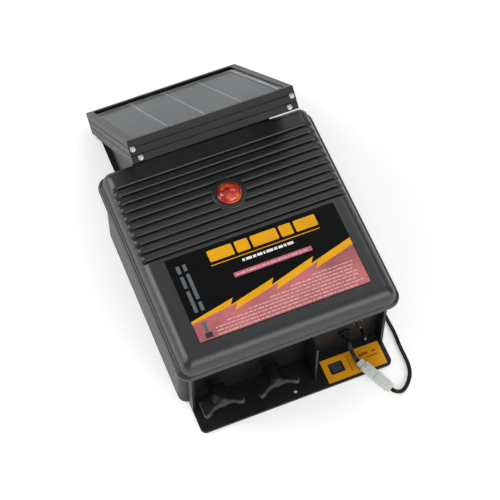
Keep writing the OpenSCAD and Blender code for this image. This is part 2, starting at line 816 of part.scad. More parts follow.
module panel_rail_front() {
  color([0.07, 0.07, 0.07]) place() on_panel() difference() {
    rotate([90, 0, 90]) translate([0, 0, -panel_w / 2]) linear_extrude(panel_w)
      rail_section(panel_t);
    for (m = [0, 1], p = screw_ports) mirror([m, 0, 0]) translate([panel_w / 2 - p.x, -1, p.y])
      rotate([-90, 0, 0]) cylinder(r = 1.5, h = 20);
    rail_ends();
  }
}

module panel_rail_rear() {
  color([0.07, 0.07, 0.07]) place() on_panel() difference() {
    translate([0, panel_l, 0]) mirror([0, 1, 0]) rotate([90, 0, 90])
      translate([0, 0, -panel_w / 2]) linear_extrude(panel_w) rail_section(panel_t);
    for (m = [0, 1], p = screw_ports) mirror([m, 0, 0])
      translate([panel_w / 2 - p.x, panel_l + 1, p.y]) rotate([90, 0, 0]) cylinder(r = 1.5, h = 20);
    rail_ends();
  }
}

// Space at the ends of the end rails, where the side rails butt against their walls: wide at the
// foot for the side rails' bottom flanges, and as wide as their lips above.
module rail_ends() {
  foot_z = -10;
  for (m = [0, 1]) mirror([m, 0, 0]) {
    translate([panel_w / 2 - 11.5, rail_t, -panel_t - 1])
      cube([12.5, panel_l - 2 * rail_t, panel_t + 1 + foot_z]);
    translate([panel_w / 2 - rail_lip - 0.1, rail_t, foot_z - eps])
      cube([rail_lip + 1.1, panel_l - 2 * rail_t, 1 - foot_z]);
  }
}

// Stands the rail section along the panel's right side.
module along_side() {
  on_panel() translate([0, rail_t, 0]) rotate([-90, 0, 0]) mirror([0, 1, 0])
    linear_extrude(panel_l - 2 * rail_t) translate([panel_w / 2, 0]) mirror([1, 0]) children();
}

module side_rail() {
  difference() {
    union() {
      along_side() rail_section(panel_t);
      for (p = screw_ports) along_side() translate(p) circle(2.2);
    }
    for (p = screw_ports) along_side() translate(p) circle(1.3);
  }
}

// Side rail with the holes for the bracket's screws.
module drilled_side_rail() {
  difference() {
    side_rail();
    on_panel() for (s = flange_screws) translate([72, s, -panel_t - 1]) cylinder(r = 1.6, h = 2.4);
  }
}

module panel_rail_right() {
  color([0.07, 0.07, 0.07]) place() drilled_side_rail();
}

module panel_rail_left() {
  color([0.07, 0.07, 0.07]) place() mirror([1, 0, 0]) drilled_side_rail();
}

module panel_glass() {
  inset = rail_t + glass_gap;
  color([0.45, 0.47, 0.48, 0.5]) place() on_panel()
    translate([-panel_w / 2 + inset, inset, -rail_t - glass_t])
      cube([panel_w - 2 * inset, panel_l - 2 * inset, glass_t]);
}

// Four dark cells side by side, with round outer corners, laminated under the glass.
cell_gap = 1;
cell_margin = 8.5;
cell_t = 0.4;

module solar_cells() {
  width = (panel_w - 2 * cell_margin - 3 * cell_gap) / 4;
  color([0.16, 0.17, 0.2]) place() on_panel() translate([0, 0, -rail_t - glass_t - cell_t])
    linear_extrude(cell_t) intersection() {
      round_rect([-panel_w / 2 + cell_margin, cell_margin],
                 [panel_w / 2 - cell_margin, panel_l - cell_margin], 7);
      for (i = [0:3])
        translate([-panel_w / 2 + cell_margin + i * (width + cell_gap), 0]) square([width, panel_l]);
    }
}

module panel_backsheet() {
  inset = rail_t + glass_gap;
  color([0.8, 0.8, 0.8]) place() on_panel()
    translate([-panel_w / 2 + inset, inset, shelf_z])
      cube([panel_w - 2 * inset, panel_l - 2 * inset, 0.6]);
}

module rail_screws() {
  color("silver") place() on_panel() for (m = [0, 1], p = screw_ports) mirror([m, 0, 0]) {
    translate([panel_w / 2 - p.x, 0, p.y]) rotate([90, 0, 0]) screw(2.7, 1.4, 1.3, 12);
    translate([panel_w / 2 - p.x, panel_l, p.y]) rotate([-90, 0, 0]) screw(2.7, 1.4, 1.3, 12);
  }
}

module junction_box() {
  color([0.06, 0.06, 0.06]) place() on_panel() difference() {
    union() {
      translate([-3, 92, shelf_z - 14]) cube([50, 36, 14]);
      translate([0, 95, shelf_z - 15.2]) cube([44, 30, 1.2 + eps]);
    }
    translate([40, 110, -13.1]) rotate([0, 90, 0]) cylinder(r = lead_r, h = 10);
  }
}

rear_housing();
front_cover();
cover_gasket();
cover_screws();
face_label();
signal_lens();
signal_lamp();
lamp_wires();
circuit_board();
board_screws();
storage_capacitor();
transformer_core();
transformer_winding();
heat_sink();
thyristor();
board_parts();
battery();
battery_tabs();
battery_strap();
strap_screws();
battery_foam();
battery_wires();
output_wires();
switch_wires();
fence_stud();
ground_stud();
stud_nuts();
stud_washers();
ring_terminals();
switch_body();
switch_nut();
control_label();
lead_grommet();
supply_lead();
connector_socket();
socket_contacts();
solar_lead();
bracket_plate();
bracket_arm_left();
bracket_arm_right();
bracket_screws();
panel_rail_front();
panel_rail_rear();
panel_rail_left();
panel_rail_right();
panel_glass();
solar_cells();
panel_backsheet();
rail_screws();
junction_box();
arm_grommet();
fence_washer();
fence_knob();
fence_insert();
ground_washer();
ground_knob();
ground_insert();
switch_lever();
connector_plug();
plug_pins();
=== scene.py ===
# Looks of the solar fence energizer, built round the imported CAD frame.
import json
from math import atan2, cos, pi, radians, sin, sqrt

import bmesh
import bpy
from mathutils import Matrix, Vector


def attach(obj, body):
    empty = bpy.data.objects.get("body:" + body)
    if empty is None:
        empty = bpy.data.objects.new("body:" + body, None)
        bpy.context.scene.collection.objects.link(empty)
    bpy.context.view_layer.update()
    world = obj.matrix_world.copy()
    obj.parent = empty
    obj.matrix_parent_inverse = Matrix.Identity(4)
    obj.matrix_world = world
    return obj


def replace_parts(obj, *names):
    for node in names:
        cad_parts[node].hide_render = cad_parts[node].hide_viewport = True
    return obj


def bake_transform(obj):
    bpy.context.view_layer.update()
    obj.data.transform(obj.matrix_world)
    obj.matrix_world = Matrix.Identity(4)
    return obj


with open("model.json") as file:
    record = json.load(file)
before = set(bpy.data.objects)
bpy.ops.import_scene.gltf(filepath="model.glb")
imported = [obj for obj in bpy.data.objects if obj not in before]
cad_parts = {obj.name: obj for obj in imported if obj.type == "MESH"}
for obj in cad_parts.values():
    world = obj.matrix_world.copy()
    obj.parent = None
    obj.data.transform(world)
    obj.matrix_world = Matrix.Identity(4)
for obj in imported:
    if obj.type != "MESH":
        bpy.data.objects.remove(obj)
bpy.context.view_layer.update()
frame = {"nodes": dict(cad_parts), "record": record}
NODES = frame["nodes"]
MM = 0.001
ORIGIN_Y = 157.59   # the case's own y = 0 is the cover's lower edge


def case(x, y, z):
    """A point given in millimetres from the cover's lower edge, in the row frame."""
    return Vector((x * MM, (y - ORIGIN_Y) * MM, z * MM))


# ---------- camera, floor and light ----------

camera_data = bpy.data.cameras.new("camera")
camera_data.lens = 132.3
camera_data.sensor_width = 36
camera = bpy.data.objects.new("camera", camera_data)
bpy.context.scene.collection.objects.link(camera)
view_right = Vector((0.9272, -0.3745, 0.0017)).normalized()
view_ahead = Vector((0.1813, 0.4448, -0.8771)).normalized()
view_up = view_right.cross(view_ahead).normalized()
view_right = view_ahead.cross(view_up)
camera.matrix_world = Matrix.Translation(case(-295.85, -625.71, 1511.99)) @ Matrix(
    (view_right, view_up, -view_ahead)).transposed().to_4x4()
bpy.context.scene.camera = camera
bpy.context.scene.view_settings.view_transform = "Standard"


def nodes_of(owner):
    """The empty node tree of a material or world."""
    owner.use_nodes = True
    tree = owner.node_tree
    tree.nodes.clear()
    return tree


def add(tree, kind, **values):
    """Adds a node; keys are attributes or input names."""
    n = tree.nodes.new(kind)
    for key, value in values.items():
        if hasattr(n, key):
            setattr(n, key, value)
        else:
            n.inputs[key.replace("_", " ")].default_value = value
    return n


def build_stage():
    """A white floor and a sky that grows brighter upwards."""
    bpy.ops.mesh.primitive_plane_add(size=12, location=(0, 0, 0))
    floor = bpy.context.object
    floor.name = "floor"
    tree = nodes_of(bpy.data.materials.new("floor_white"))
    paint = add(tree, "ShaderNodeBsdfPrincipled")
    paint.inputs["Base Color"].default_value = (0.84, 0.84, 0.84, 1)
    paint.inputs["Roughness"].default_value = 0.8
    paint.inputs["Emission Color"].default_value = (1, 1, 1, 1)
    paint.inputs["Emission Strength"].default_value = 0.32
    out = add(tree, "ShaderNodeOutputMaterial")
    tree.links.new(paint.outputs[0], out.inputs[0])
    floor.data.materials.append(bpy.data.materials["floor_white"])
    world = bpy.data.worlds.new("studio")
    bpy.context.scene.world = world
    tree = nodes_of(world)
    way = add(tree, "ShaderNodeTexCoord")
    parts = add(tree, "ShaderNodeSeparateXYZ")
    height = add(tree, "ShaderNodeMapRange", To_Min=0.2, To_Max=0.68)
    sky = add(tree, "ShaderNodeBackground")
    sky.inputs["Color"].default_value = (1, 1, 1, 1)
    out = add(tree, "ShaderNodeOutputWorld")
    tree.links.new(way.outputs["Generated"], parts.inputs[0])
    tree.links.new(parts.outputs["Z"], height.inputs["Value"])
    tree.links.new(height.outputs[0], sky.inputs["Strength"])
    tree.links.new(sky.outputs[0], out.inputs[0])


def soft_light(name, at, aim, size, watts, size_y=None):
    """A rectangular light at one place, turned towards another."""
    data = bpy.data.lights.new(name, "AREA")
    data.energy = watts
    data.shape = "RECTANGLE"
    data.size = size
    data.size_y = size_y or size
    lamp = bpy.data.objects.new(name, data)
    bpy.context.scene.collection.objects.link(lamp)
    lamp.location = at
    lamp.rotation_euler = (Vector(aim) - Vector(at)).to_track_quat("-Z", "Y").to_euler()


build_stage()
soft_light("key_left", (-1.35, 0.75, 0.85), (0, 0, 0.05), 1.1, 20)
soft_light("front_high", (0.35, -1.45, 0.65), (0, -0.1, 0.05), 1.5, 17, 0.9)
soft_light("top_right", (1.1, 1.0, 1.6), (0, 0, 0.05), 1.0, 6)

# ---------- materials ----------

def surface(name, color, rough=0.5, metal=0.0, spread=0.15, grain=900.0, bump=0.15,
            rough_spread=0.08, coat=0.0, stretch=(1, 1, 1), specular=0.5, painted_glint=None):
    """A moulded, painted or metal surface: broad colour drift, fine grain in gloss and relief.
    A painted glint colour, if given, comes in patches along the same drift."""
    made = bpy.data.materials.new("finish_" + name)
    tree = nodes_of(made)
    place = add(tree, "ShaderNodeTexCoord")
    turn = add(tree, "ShaderNodeMapping")
    turn.inputs["Scale"].default_value = stretch
    broad = add(tree, "ShaderNodeTexNoise", Scale=grain / 22, Detail=3.0)
    fine = add(tree, "ShaderNodeTexNoise", Scale=grain, Detail=4.0)
    tint = add(tree, "ShaderNodeMapRange", To_Min=1 - spread, To_Max=1 + spread)
    mixed = add(tree, "ShaderNodeMix", data_type="RGBA", blend_type="MULTIPLY")
    mixed.inputs[0].default_value = 1.0
    gloss = add(tree, "ShaderNodeMapRange", To_Min=max(0.02, rough - rough_spread),
                To_Max=min(1.0, rough + rough_spread))
    for n in (tint, gloss):
        n.inputs["From Min"].default_value = 0.3
        n.inputs["From Max"].default_value = 0.7
    relief = add(tree, "ShaderNodeBump", Strength=bump, Distance=0.0002)
    paint = add(tree, "ShaderNodeBsdfPrincipled")
    paint.inputs["Metallic"].default_value = metal
    paint.inputs["Coat Weight"].default_value = coat
    paint.inputs["Specular IOR Level"].default_value = specular
    out = add(tree, "ShaderNodeOutputMaterial")
    link = tree.links.new
    link(place.outputs["Object"], turn.inputs[0])
    for n in (broad, fine):
        link(turn.outputs[0], n.inputs["Vector"])
    link(broad.outputs[0], tint.inputs["Value"])
    link(fine.outputs[0], gloss.inputs["Value"])
    mixed.inputs[6].default_value = (*color, 1)
    if painted_glint:
        share = add(tree, "ShaderNodeMapRange")
        share.inputs["From Min"].default_value = 0.44
        share.inputs["From Max"].default_value = 0.66
        patches = add(tree, "ShaderNodeMix", data_type="RGBA")
        patches.inputs[6].default_value = (*color, 1)
        patches.inputs[7].default_value = (*painted_glint, 1)
        link(broad.outputs[0], share.inputs["Value"])
        link(share.outputs[0], patches.inputs[0])
        link(patches.outputs[2], mixed.inputs[6])
    link(tint.outputs[0], mixed.inputs[7])
    link(mixed.outputs[2], paint.inputs["Base Color"])
    link(gloss.outputs[0], paint.inputs["Roughness"])
    link(fine.outputs[0], relief.inputs["Height"])
    link(relief.outputs[0], paint.inputs["Normal"])
    link(paint.outputs[0], out.inputs[0])
    return made


def shader_of(material):
    return next(n for n in material.node_tree.nodes if n.type == "BSDF_PRINCIPLED")


FINISH = {
    "case_plastic": surface("case_plastic", (0.016, 0.017, 0.017), 0.36, grain=1400, bump=0.12,
                            specular=0.5),
    # Painted shade: a darker, duller copy of the cover's plastic for the housing and tray lying in
    # the shade under the cover.
    "shade_darkened_housing_plastic": surface("shade_darkened_housing_plastic", (0.011, 0.012, 0.012), 0.4, grain=1400,
                               bump=0.12, specular=0.22),
    "knob_plastic": surface("knob_plastic", (0.004, 0.004, 0.0045), 0.42, grain=1200, bump=0.15,
                            specular=0.3),
    "seal_rubber": surface("seal_rubber", (0.004, 0.004, 0.004), 0.6, grain=1500, bump=0.25,
                           specular=0.25),
    "lead_jacket": surface("lead_jacket", (0.005, 0.005, 0.005), 0.38, grain=1800, bump=0.12,
                           specular=0.3),
    "screw_steel": surface("screw_steel", (0.36, 0.36, 0.35), 0.36, 1.0, grain=2500, bump=0.1),
    # Painted shade: chrome darkened to stand in for the dark bay it reflects.
    "lever_chrome": surface("lever_chrome", (0.13, 0.13, 0.13), 0.24, 1.0, grain=2500, bump=0.08),
    # Painted shade: screw steel darkened for the tray screw, terminal nuts, washers and switch
    # barrel, which sit in the shaded bay.
    "dark_steel": surface("dark_steel", (0.035, 0.035, 0.035), 0.5, 0.6, grain=2000, bump=0.12,
                          specular=0.3),
    "contact_brass": surface("contact_brass", (0.72, 0.5, 0.22), 0.32, 1.0, grain=2200, bump=0.1),
    "label_film": surface("label_film", (0.003, 0.0032, 0.0036), 0.35, grain=1500, bump=0.05,
                          specular=0.07),
    "control_film": surface("control_film", (0.74, 0.33, 0.008), 0.4, grain=1500, spread=0.08,
                            bump=0.06, specular=0.25),
    # The orange patches on the red are painted glints of light caught inside the lens.
    "lens_red": surface("lens_red", (0.85, 0.02, 0.02), 0.12, grain=3000, spread=0.35, bump=0.1,
                        rough_spread=0.06, coat=0.6, painted_glint=(1.0, 0.24, 0.02)),
    "lamp_glass": surface("lamp_glass", (0.8, 0.6, 0.4), 0.2, grain=1500, bump=0.05),
    "wire_red": surface("wire_red", (0.5, 0.03, 0.02), 0.4, grain=1800),
    "wire_white": surface("wire_white", (0.7, 0.68, 0.6), 0.45, grain=1800),
    "board_green": surface("board_green", (0.02, 0.16, 0.06), 0.35, grain=2600, spread=0.3),
    "capacitor_sleeve": surface("capacitor_sleeve", (0.03, 0.05, 0.22), 0.3, grain=1500),
    "core_iron": surface("core_iron", (0.3, 0.3, 0.32), 0.5, 0.8, grain=700,
                         stretch=(1, 12, 1), bump=0.4),
    "winding_copper": surface("winding_copper", (0.45, 0.2, 0.06), 0.4, 0.4, grain=900,
                              stretch=(1, 1, 9), bump=0.4),
    "sink_aluminium": surface("sink_aluminium", (0.72, 0.72, 0.74), 0.35, 1.0, grain=1500,
                              stretch=(1, 1, 0.1)),
    "chip_plastic": surface("chip_plastic", (0.05, 0.05, 0.055), 0.5, grain=1800),
    "battery_case": surface("battery_case", (0.04, 0.04, 0.05), 0.45, grain=1200),
    "strap_plastic": surface("strap_plastic", (0.03, 0.03, 0.03), 0.5, grain=1400),
    "foam_pad": surface("foam_pad", (0.09, 0.09, 0.1), 0.9, grain=1600, bump=0.6),
    "nylon_white": surface("nylon_white", (0.63, 0.66, 0.6), 0.45, grain=900, spread=0.06,
                           bump=0.08),
    "bracket_paint": surface("bracket_paint", (0.006, 0.006, 0.006), 0.5, grain=1600, bump=0.25,
                             specular=0.4),
    "rail_paint": surface("rail_paint", (0.006, 0.006, 0.007), 0.45, grain=1200,
                          stretch=(0.05, 1, 1), bump=0.12, specular=0.3),
    "panel_glass": surface("panel_glass", (0.9, 0.93, 0.95), 0.03, grain=900, spread=0.02,
                           bump=0.0, rough_spread=0.01),
    "cell_silicon": surface("cell_silicon", (0.012, 0.015, 0.018), 0.5, grain=500, spread=0.2,
                            stretch=(6, 1, 1), bump=0.02, specular=0.04),
    "backsheet_white": surface("backsheet_white", (0.75, 0.75, 0.75), 0.6, grain=900,
                               spread=0.06),
    "box_plastic": surface("box_plastic", (0.02, 0.02, 0.02), 0.5, grain=1200),
    "ink_yellow": surface("ink_yellow", (0.75, 0.35, 0.0), 0.35, specular=0.2, grain=1500,
                          spread=0.08, bump=0.04),
    "ink_pink": surface("ink_pink", (0.4, 0.105, 0.112), 0.4, grain=700, spread=0.3, bump=0.04),
    "ink_pale": surface("ink_pale", (0.65, 0.4, 0.4), 0.4, grain=1500, spread=0.1, bump=0.04),
    "ink_rose": surface("ink_rose", (0.5, 0.1, 0.14), 0.38, grain=1500, spread=0.12, bump=0.04),
    "ink_grey": surface("ink_grey", (0.09, 0.105, 0.115), 0.4, grain=1500, spread=0.1, bump=0.04),
    "ink_light": surface("ink_light", (0.7, 0.72, 0.74), 0.4, grain=1500, spread=0.1, bump=0.04),
    "ink_dark": surface("ink_dark", (0.012, 0.013, 0.02), 0.35, grain=1500, spread=0.2,
                        bump=0.04),
    # Brown ink for print marks, also used for a painted shade line.
    "ink_brown": surface("ink_brown", (0.32, 0.07, 0.01), 0.4, grain=1500, spread=0.1, bump=0.04),
}
shader_of(FINISH["panel_glass"]).inputs["Transmission Weight"].default_value = 1.0
shader_of(FINISH["panel_glass"]).inputs["IOR"].default_value = 1.035
shader_of(FINISH["lens_red"]).inputs["Transmission Weight"].default_value = 0.45
shader_of(FINISH["nylon_white"]).inputs["Subsurface Weight"].default_value = 0.1
SLOT_OF = {s["node"]: s["material_slot"] for s in frame["record"]["subparts"]}
for node_name, cad in NODES.items():
    cad.data.materials.clear()
    # The bracket screws take steel darkened with painted shade.
    cad.data.materials.append(FINISH["dark_steel" if node_name == "bracket_screws"
                                     else SLOT_OF[node_name]])


# ---------- mesh helpers ----------

def piece(name, verts, faces, finish, body="unit", smooth=40, slot=None, millimetres=True):
    """A mesh from points in case millimetres; edges sharper than smooth degrees stay crisp."""
    mesh = bpy.data.meshes.new(name)
    points = [case(*v) for v in verts] if millimetres else verts
    mesh.from_pydata(points, [], faces)
    obj = bpy.data.objects.new(name, mesh)
    bpy.context.scene.collection.objects.link(obj)
    return finished(obj, finish, body, smooth)


def finished(obj, finish, body="unit", smooth=40):
    """Even normals, material and body for a piece."""
    bm = bmesh.new()
    bm.from_mesh(obj.data)
    bmesh.ops.remove_doubles(bm, verts=bm.verts, dist=1e-7)
    bmesh.ops.recalc_face_normals(bm, faces=bm.faces)
    for f in bm.faces:
        f.smooth = True
    for e in bm.edges:
        e.smooth = len(e.link_faces) == 2 and e.calc_face_angle(0) < radians(smooth)
    bm.to_mesh(obj.data)
    bm.free()
    even = obj.modifiers.new("even", "WEIGHTED_NORMAL")
    even.keep_sharp = True
    baked(obj)
    obj.data.materials.clear()
    obj.data.materials.append(FINISH[finish])
    if body:
        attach(obj, body)
    return obj


def baked(obj):
    """Applies the object's modifiers."""
    bpy.context.view_layer.update()
    made = bpy.data.meshes.new_from_object(obj.evaluated_get(bpy.context.evaluated_depsgraph_get()))
    obj.modifiers.clear()
    obj.data = made
    return obj


def softened(node, width=0.5, segments=2, angle=38, body="unit", finish=None):
    """A copy of a CAD node with its edges rounded; it takes the node's place."""
    cad = NODES[node]
    mesh = cad.data.copy()
    bm = bmesh.new()
    bm.from_mesh(mesh)
    bmesh.ops.remove_doubles(bm, verts=bm.verts, dist=2e-6)
    bmesh.ops.dissolve_limit(bm, angle_limit=radians(1.5), verts=bm.verts, edges=bm.edges)
    bm.to_mesh(mesh)
    bm.free()
    obj = bpy.data.objects.new(node + "_soft", mesh)
    bpy.context.scene.collection.objects.link(obj)
    edge = obj.modifiers.new("edge", "BEVEL")
    edge.width = width * MM
    edge.segments = segments
    edge.limit_method = "ANGLE"
    edge.angle_limit = radians(angle)
    edge.use_clamp_overlap = True
    baked(obj)
    finished(obj, finish or SLOT_OF[node], body, 35)
    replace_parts(obj, node)
    return obj


def bevelled(obj, width, segments=2, angle=35):
    """Rounds the object's sharp edges, width in millimetres."""
    edge = obj.modifiers.new("edge", "BEVEL")
    edge.width = width * MM
    edge.segments = segments
    edge.limit_method = "ANGLE"
    edge.angle_limit = radians(angle)
    return baked(obj)


def moulded(name, parts, finish, body, width=0.4, smooth=35, transform=None):
    """Bevelled blocks as one piece."""
    verts, faces = joined(parts)
    if transform:
        verts = transform(verts)
    mesh = bpy.data.meshes.new(name)
    mesh.from_pydata([case(*v) for v in verts], [], faces)
    obj = bpy.data.objects.new(name, mesh)
    bpy.context.scene.collection.objects.link(obj)
    bevelled(obj, width)
    return finished(obj, finish, body, smooth)


def cut(solid, cutter):
    """One closed mesh less another, both as vertex and face lists."""
    made = []
    for verts, faces in (solid, cutter):
        mesh = bpy.data.meshes.new("part")
        mesh.from_pydata(verts, [], faces)
        bm = bmesh.new()
        bm.from_mesh(mesh)
        bmesh.ops.recalc_face_normals(bm, faces=bm.faces)
        bm.to_mesh(mesh)
        bm.free()
        made.append(bpy.data.objects.new("part", mesh))
        bpy.context.scene.collection.objects.link(made[-1])
    less = made[0].modifiers.new("less", "BOOLEAN")
    less.operation = "DIFFERENCE"
    less.solver = "EXACT"
    less.object = made[1]
    baked(made[0])
    mesh = made[0].data
    result = ([tuple(v.co) for v in mesh.vertices], [tuple(f.vertices) for f in mesh.polygons])
    for obj in made:
        bpy.data.objects.remove(obj)
    return result


# ---------- shapes ----------

def lathe(profile, at, axis, turns=48):
    """Vertices and faces of a profile of (radius, height) turned about axis through at."""
    z = Vector(axis).normalized()
    x = z.orthogonal().normalized()
    y = z.cross(x)
    verts, faces = [], []
    for r, h in profile:
        verts += [tuple(Vector(at) + z * h + (x * cos(2 * pi * i / turns)
                                              + y * sin(2 * pi * i / turns)) * r)
                  for i in range(turns)]
    for k in range(len(profile) - 1):
        for i in range(turns):
            a, b = k * turns + i, k * turns + (i + 1) % turns
            faces.append((a, b, b + turns, a + turns))
    faces.append(tuple(range(turns)))
    faces.append(tuple(range((len(profile) - 1) * turns, len(profile) * turns)))
    return verts, faces


def joined(parts):
    """One vertex and face list from several."""
    verts, faces = [], []
    for v, f in parts:
        base = len(verts)
        verts += v
        faces += [tuple(i + base for i in face) for face in f]
    return verts, faces


def block(low, high):
    """A box between two corners."""
    (x0, y0, z0), (x1, y1, z1) = low, high
    verts = [(x, y, z) for z in (z0, z1) for x, y in ((x0, y0), (x1, y0), (x1, y1), (x0, y1))]
    return verts, [(0, 3, 2, 1), (4, 5, 6, 7), (0, 1, 5, 4), (1, 2, 6, 5), (2, 3, 7, 6),
                   (3, 0, 4, 7)]


def slab(outline, z0, z1):
    """A flat outline of (x, y) points raised from z0 to z1."""
    n = len(outline)
    verts = [(x, y, z0) for x, y in outline] + [(x, y, z1) for x, y in outline]
    faces = [tuple(range(n))[::-1], tuple(range(n, 2 * n))]
    faces += [(i, (i + 1) % n, n + (i + 1) % n, n + i) for i in range(n)]
    return verts, faces


def box_outline(x0, y0, x1, y1):
    """Outline of a rectangle between two corners."""
    return [(x0, y0), (x1, y0), (x1, y1), (x0, y1)]


def rounded(low, high, r, steps=5):
    """Outline of a rectangle with round corners."""
    points = []
    for cx, cy, a0 in ((high[0] - r, low[1] + r, -pi / 2), (high[0] - r, high[1] - r, 0),
                       (low[0] + r, high[1] - r, pi / 2), (low[0] + r, low[1] + r, pi)):
        points += [(cx + r * cos(a0 + pi / 2 * i / steps), cy + r * sin(a0 + pi / 2 * i / steps))
                   for i in range(steps + 1)]
    return points


def cross_screw(head_r, head_h, shank_r, length):
    """A pan-head screw with a cross recess, its head's underside at z = 0."""
    dome = [(head_r, 0.0), (head_r, head_h * 0.35), (head_r * 0.94, head_h * 0.66),
            (head_r * 0.78, head_h * 0.88), (head_r * 0.5, head_h), (0.2, head_h)]
    profile = [(shank_r * 0.6, -length), (shank_r, -length + 0.6), (shank_r, 0.0)] + dome
    a, b, d = head_r * 0.56, head_r * 0.13, head_h * 0.45
    outline = [(a, -b), (a, b), (b, b), (b, a), (-b, a), (-b, b), (-a, b), (-a, -b), (-b, -b),
               (-b, -a), (b, -a), (b, -b)]
    return cut(lathe(profile, (0, 0, 0), (0, 0, 1), 32), slab(outline, head_h - d, head_h + 1))


def placed(shape, at, axis, roll=0.0):
    """A shape stood on a point with its z along an axis."""
    z = Vector(axis).normalized()
    x = z.orthogonal().normalized()
    x = Matrix.Rotation(roll, 3, z) @ x
    y = z.cross(x)
    return [tuple(Vector(at) + x * a + y * b + z * c) for a, b, c in shape[0]], shape[1]


# The panel's own frame: x across, s down its slope, n out of the glass.
PANEL_W, PANEL_L = 155.0, 208.0
PANEL_TOP_Y, PANEL_TOP_Z = 193.0, 170.6
TILT = radians(48)


def on_panel(x, s, n):
    """A point of the panel's frame in case millimetres."""
    return (x, PANEL_TOP_Y + s * cos(TILT) + n * sin(TILT),
            PANEL_TOP_Z - s * sin(TILT) + n * cos(TILT))


def panel_way(s, n):
    """A direction of the panel's frame in case axes."""
    return (0, s * cos(TILT) + n * sin(TILT), -s * sin(TILT) + n * cos(TILT))


def panel_box(x, s0, s1, n0, n1):
    """A box in the panel's own frame, of half-width x."""
    verts, faces = block((-x, s0, n0), (x, s1, n1))
    return [on_panel(*v) for v in verts], faces


# ---------- leads ----------

def spline(points, steps):
    """Points along a smooth curve through the given ones."""
    p = [Vector(q) for q in points]
    out = []
    for i in range(len(p) - 1):
        a, b, c, d = p[max(i - 1, 0)], p[i], p[i + 1], p[min(i + 2, len(p) - 1)]
        for k in range(steps):
            t = k / steps
            out.append(0.5 * (2 * b + (c - a) * t + (2 * a - 5 * b + 4 * c - d) * t * t
                              + (3 * b - a - 3 * c + d) * t ** 3))
    return out + [p[-1]]


def twin_section(count=10, core=1.02, gap=0.95):
    """Outline of a two-core lead: two round jackets joined side by side."""
    start = atan2(sqrt(core ** 2 - gap ** 2), -gap)
    right = [(gap + core * cos(a), core * sin(a))
             for a in (-start + 2 * start * i / count for i in range(count + 1))]
    left = [(-x, -y) for x, y in right]
    return right + left


def twin_lead(route, width_start=(1, 0, 0)):
    """The path of a lead and the mesh of its two cores, which lie along width_start first."""
    path = spline(route, 5)
    section = twin_section()
    verts, faces = [], []
    side = Vector(width_start)
    for i, p in enumerate(path):
        ahead = (path[min(i + 1, len(path) - 1)] - path[max(i - 1, 0)]).normalized()
        side = (side - side.dot(ahead) * ahead).normalized()
        up = ahead.cross(side)
        verts += [tuple(p + side * u + up * v) for u, v in section]
    n = len(section)
    for i in range(len(path) - 1):
        for k in range(n):
            a, b = i * n + k, i * n + (k + 1) % n
            faces.append((a, b, b + n, a + n))
    faces.append(tuple(range(n)))
    faces.append(tuple(range(len(verts) - n, len(verts))))
    return path, verts, faces


SUPPLY_ROUTE = [(58, 19, 26), (58, 14, 26), (58, 10, 26), (58, 6.4, 25.1), (58.1, 3.9, 23.1),
                (58.2, 2.7, 21.4), (59.1, 1.3, 17.3), (60, -0.2, 13.2), (60.5, -1.2, 11.5),
                (61.5, -3.3, 9.4), (62.6, -5.5, 8.5), (63.11, -6.52, 8.41)]
SOLAR_ROUTE = [
    (80.11, -41.22, 5.98), (80.79, -42.61, 5.89), (82.2, -44, 5.5), (84.3, -45.1, 4.8),
    (87.2, -45.6, 3.9), (90.2, -44.9, 3.1), (94, -42.4, 2.4), (97.6, -39, 2.1), (100.8, -35, 2.1),
    (103.4, -30, 2.1), (105, -23.4, 2.1), (105.4, -16, 2.1), (105.4, -8.8, 2.1),
    (105.6, -0.8, 2.1), (106.2, 7.1, 2.1), (106.3, 14.7, 2.1), (106, 22, 2.1), (105.6, 32, 2.1),
    (105, 44, 2.1), (104.6, 62, 2.1), (104.4, 82, 2.1), (104.4, 104, 2.1), (104.4, 126, 2.1),
    (104.4, 148, 2.1), (104.4, 170, 2.1), (104.2, 190, 2.1), (103, 206, 2.3), (99.4, 219, 3.2),
    (92.6, 229, 5.4), (84, 235, 8.8), (76, 238.2, 11.2), (69, 239.6, 12), (63, 240.2, 12.6),
    (58, 240.6, 15.2), (54.6, 241.4, 20), (53, 242.6, 26.6), (53, 244.6, 35), (54.6, 247, 44),
    (57, 249.6, 53), (58.8, 252.2, 61.4), (59, 254.8, 69.4), (56.6, 256.6, 76), (52.4, 257, 79.6),
    (47, 257, 80.1)]


# ---------- connector ----------

PLUG_FROM = Vector((63.2, -6.7, 8.4))
PLUG_TO = Vector((80, -41, 6))
PLUG_LENGTH = (PLUG_TO - PLUG_FROM).length
SOCKET_LENGTH = 20.0


def on_connector(points):
    """Points given across, up and along the connector, in case millimetres."""
    ahead = (PLUG_TO - PLUG_FROM).normalized()
    across = ahead.cross(Vector((0, 0, 1))).normalized() * -1
    up = ahead.cross(across) * -1
    if up.z < 0:
        up = -up
    return [tuple(PLUG_FROM + across * u + up * v + ahead * w) for u, v, w in points]


def shell_block(w, h, z0, z1, x=0.0, y=0.0):
    """A block of the connector, w across and h high, from z0 to z1 along it."""
    return block((x - w / 2, y - h / 2, z0), (x + w / 2, y + h / 2, z1))


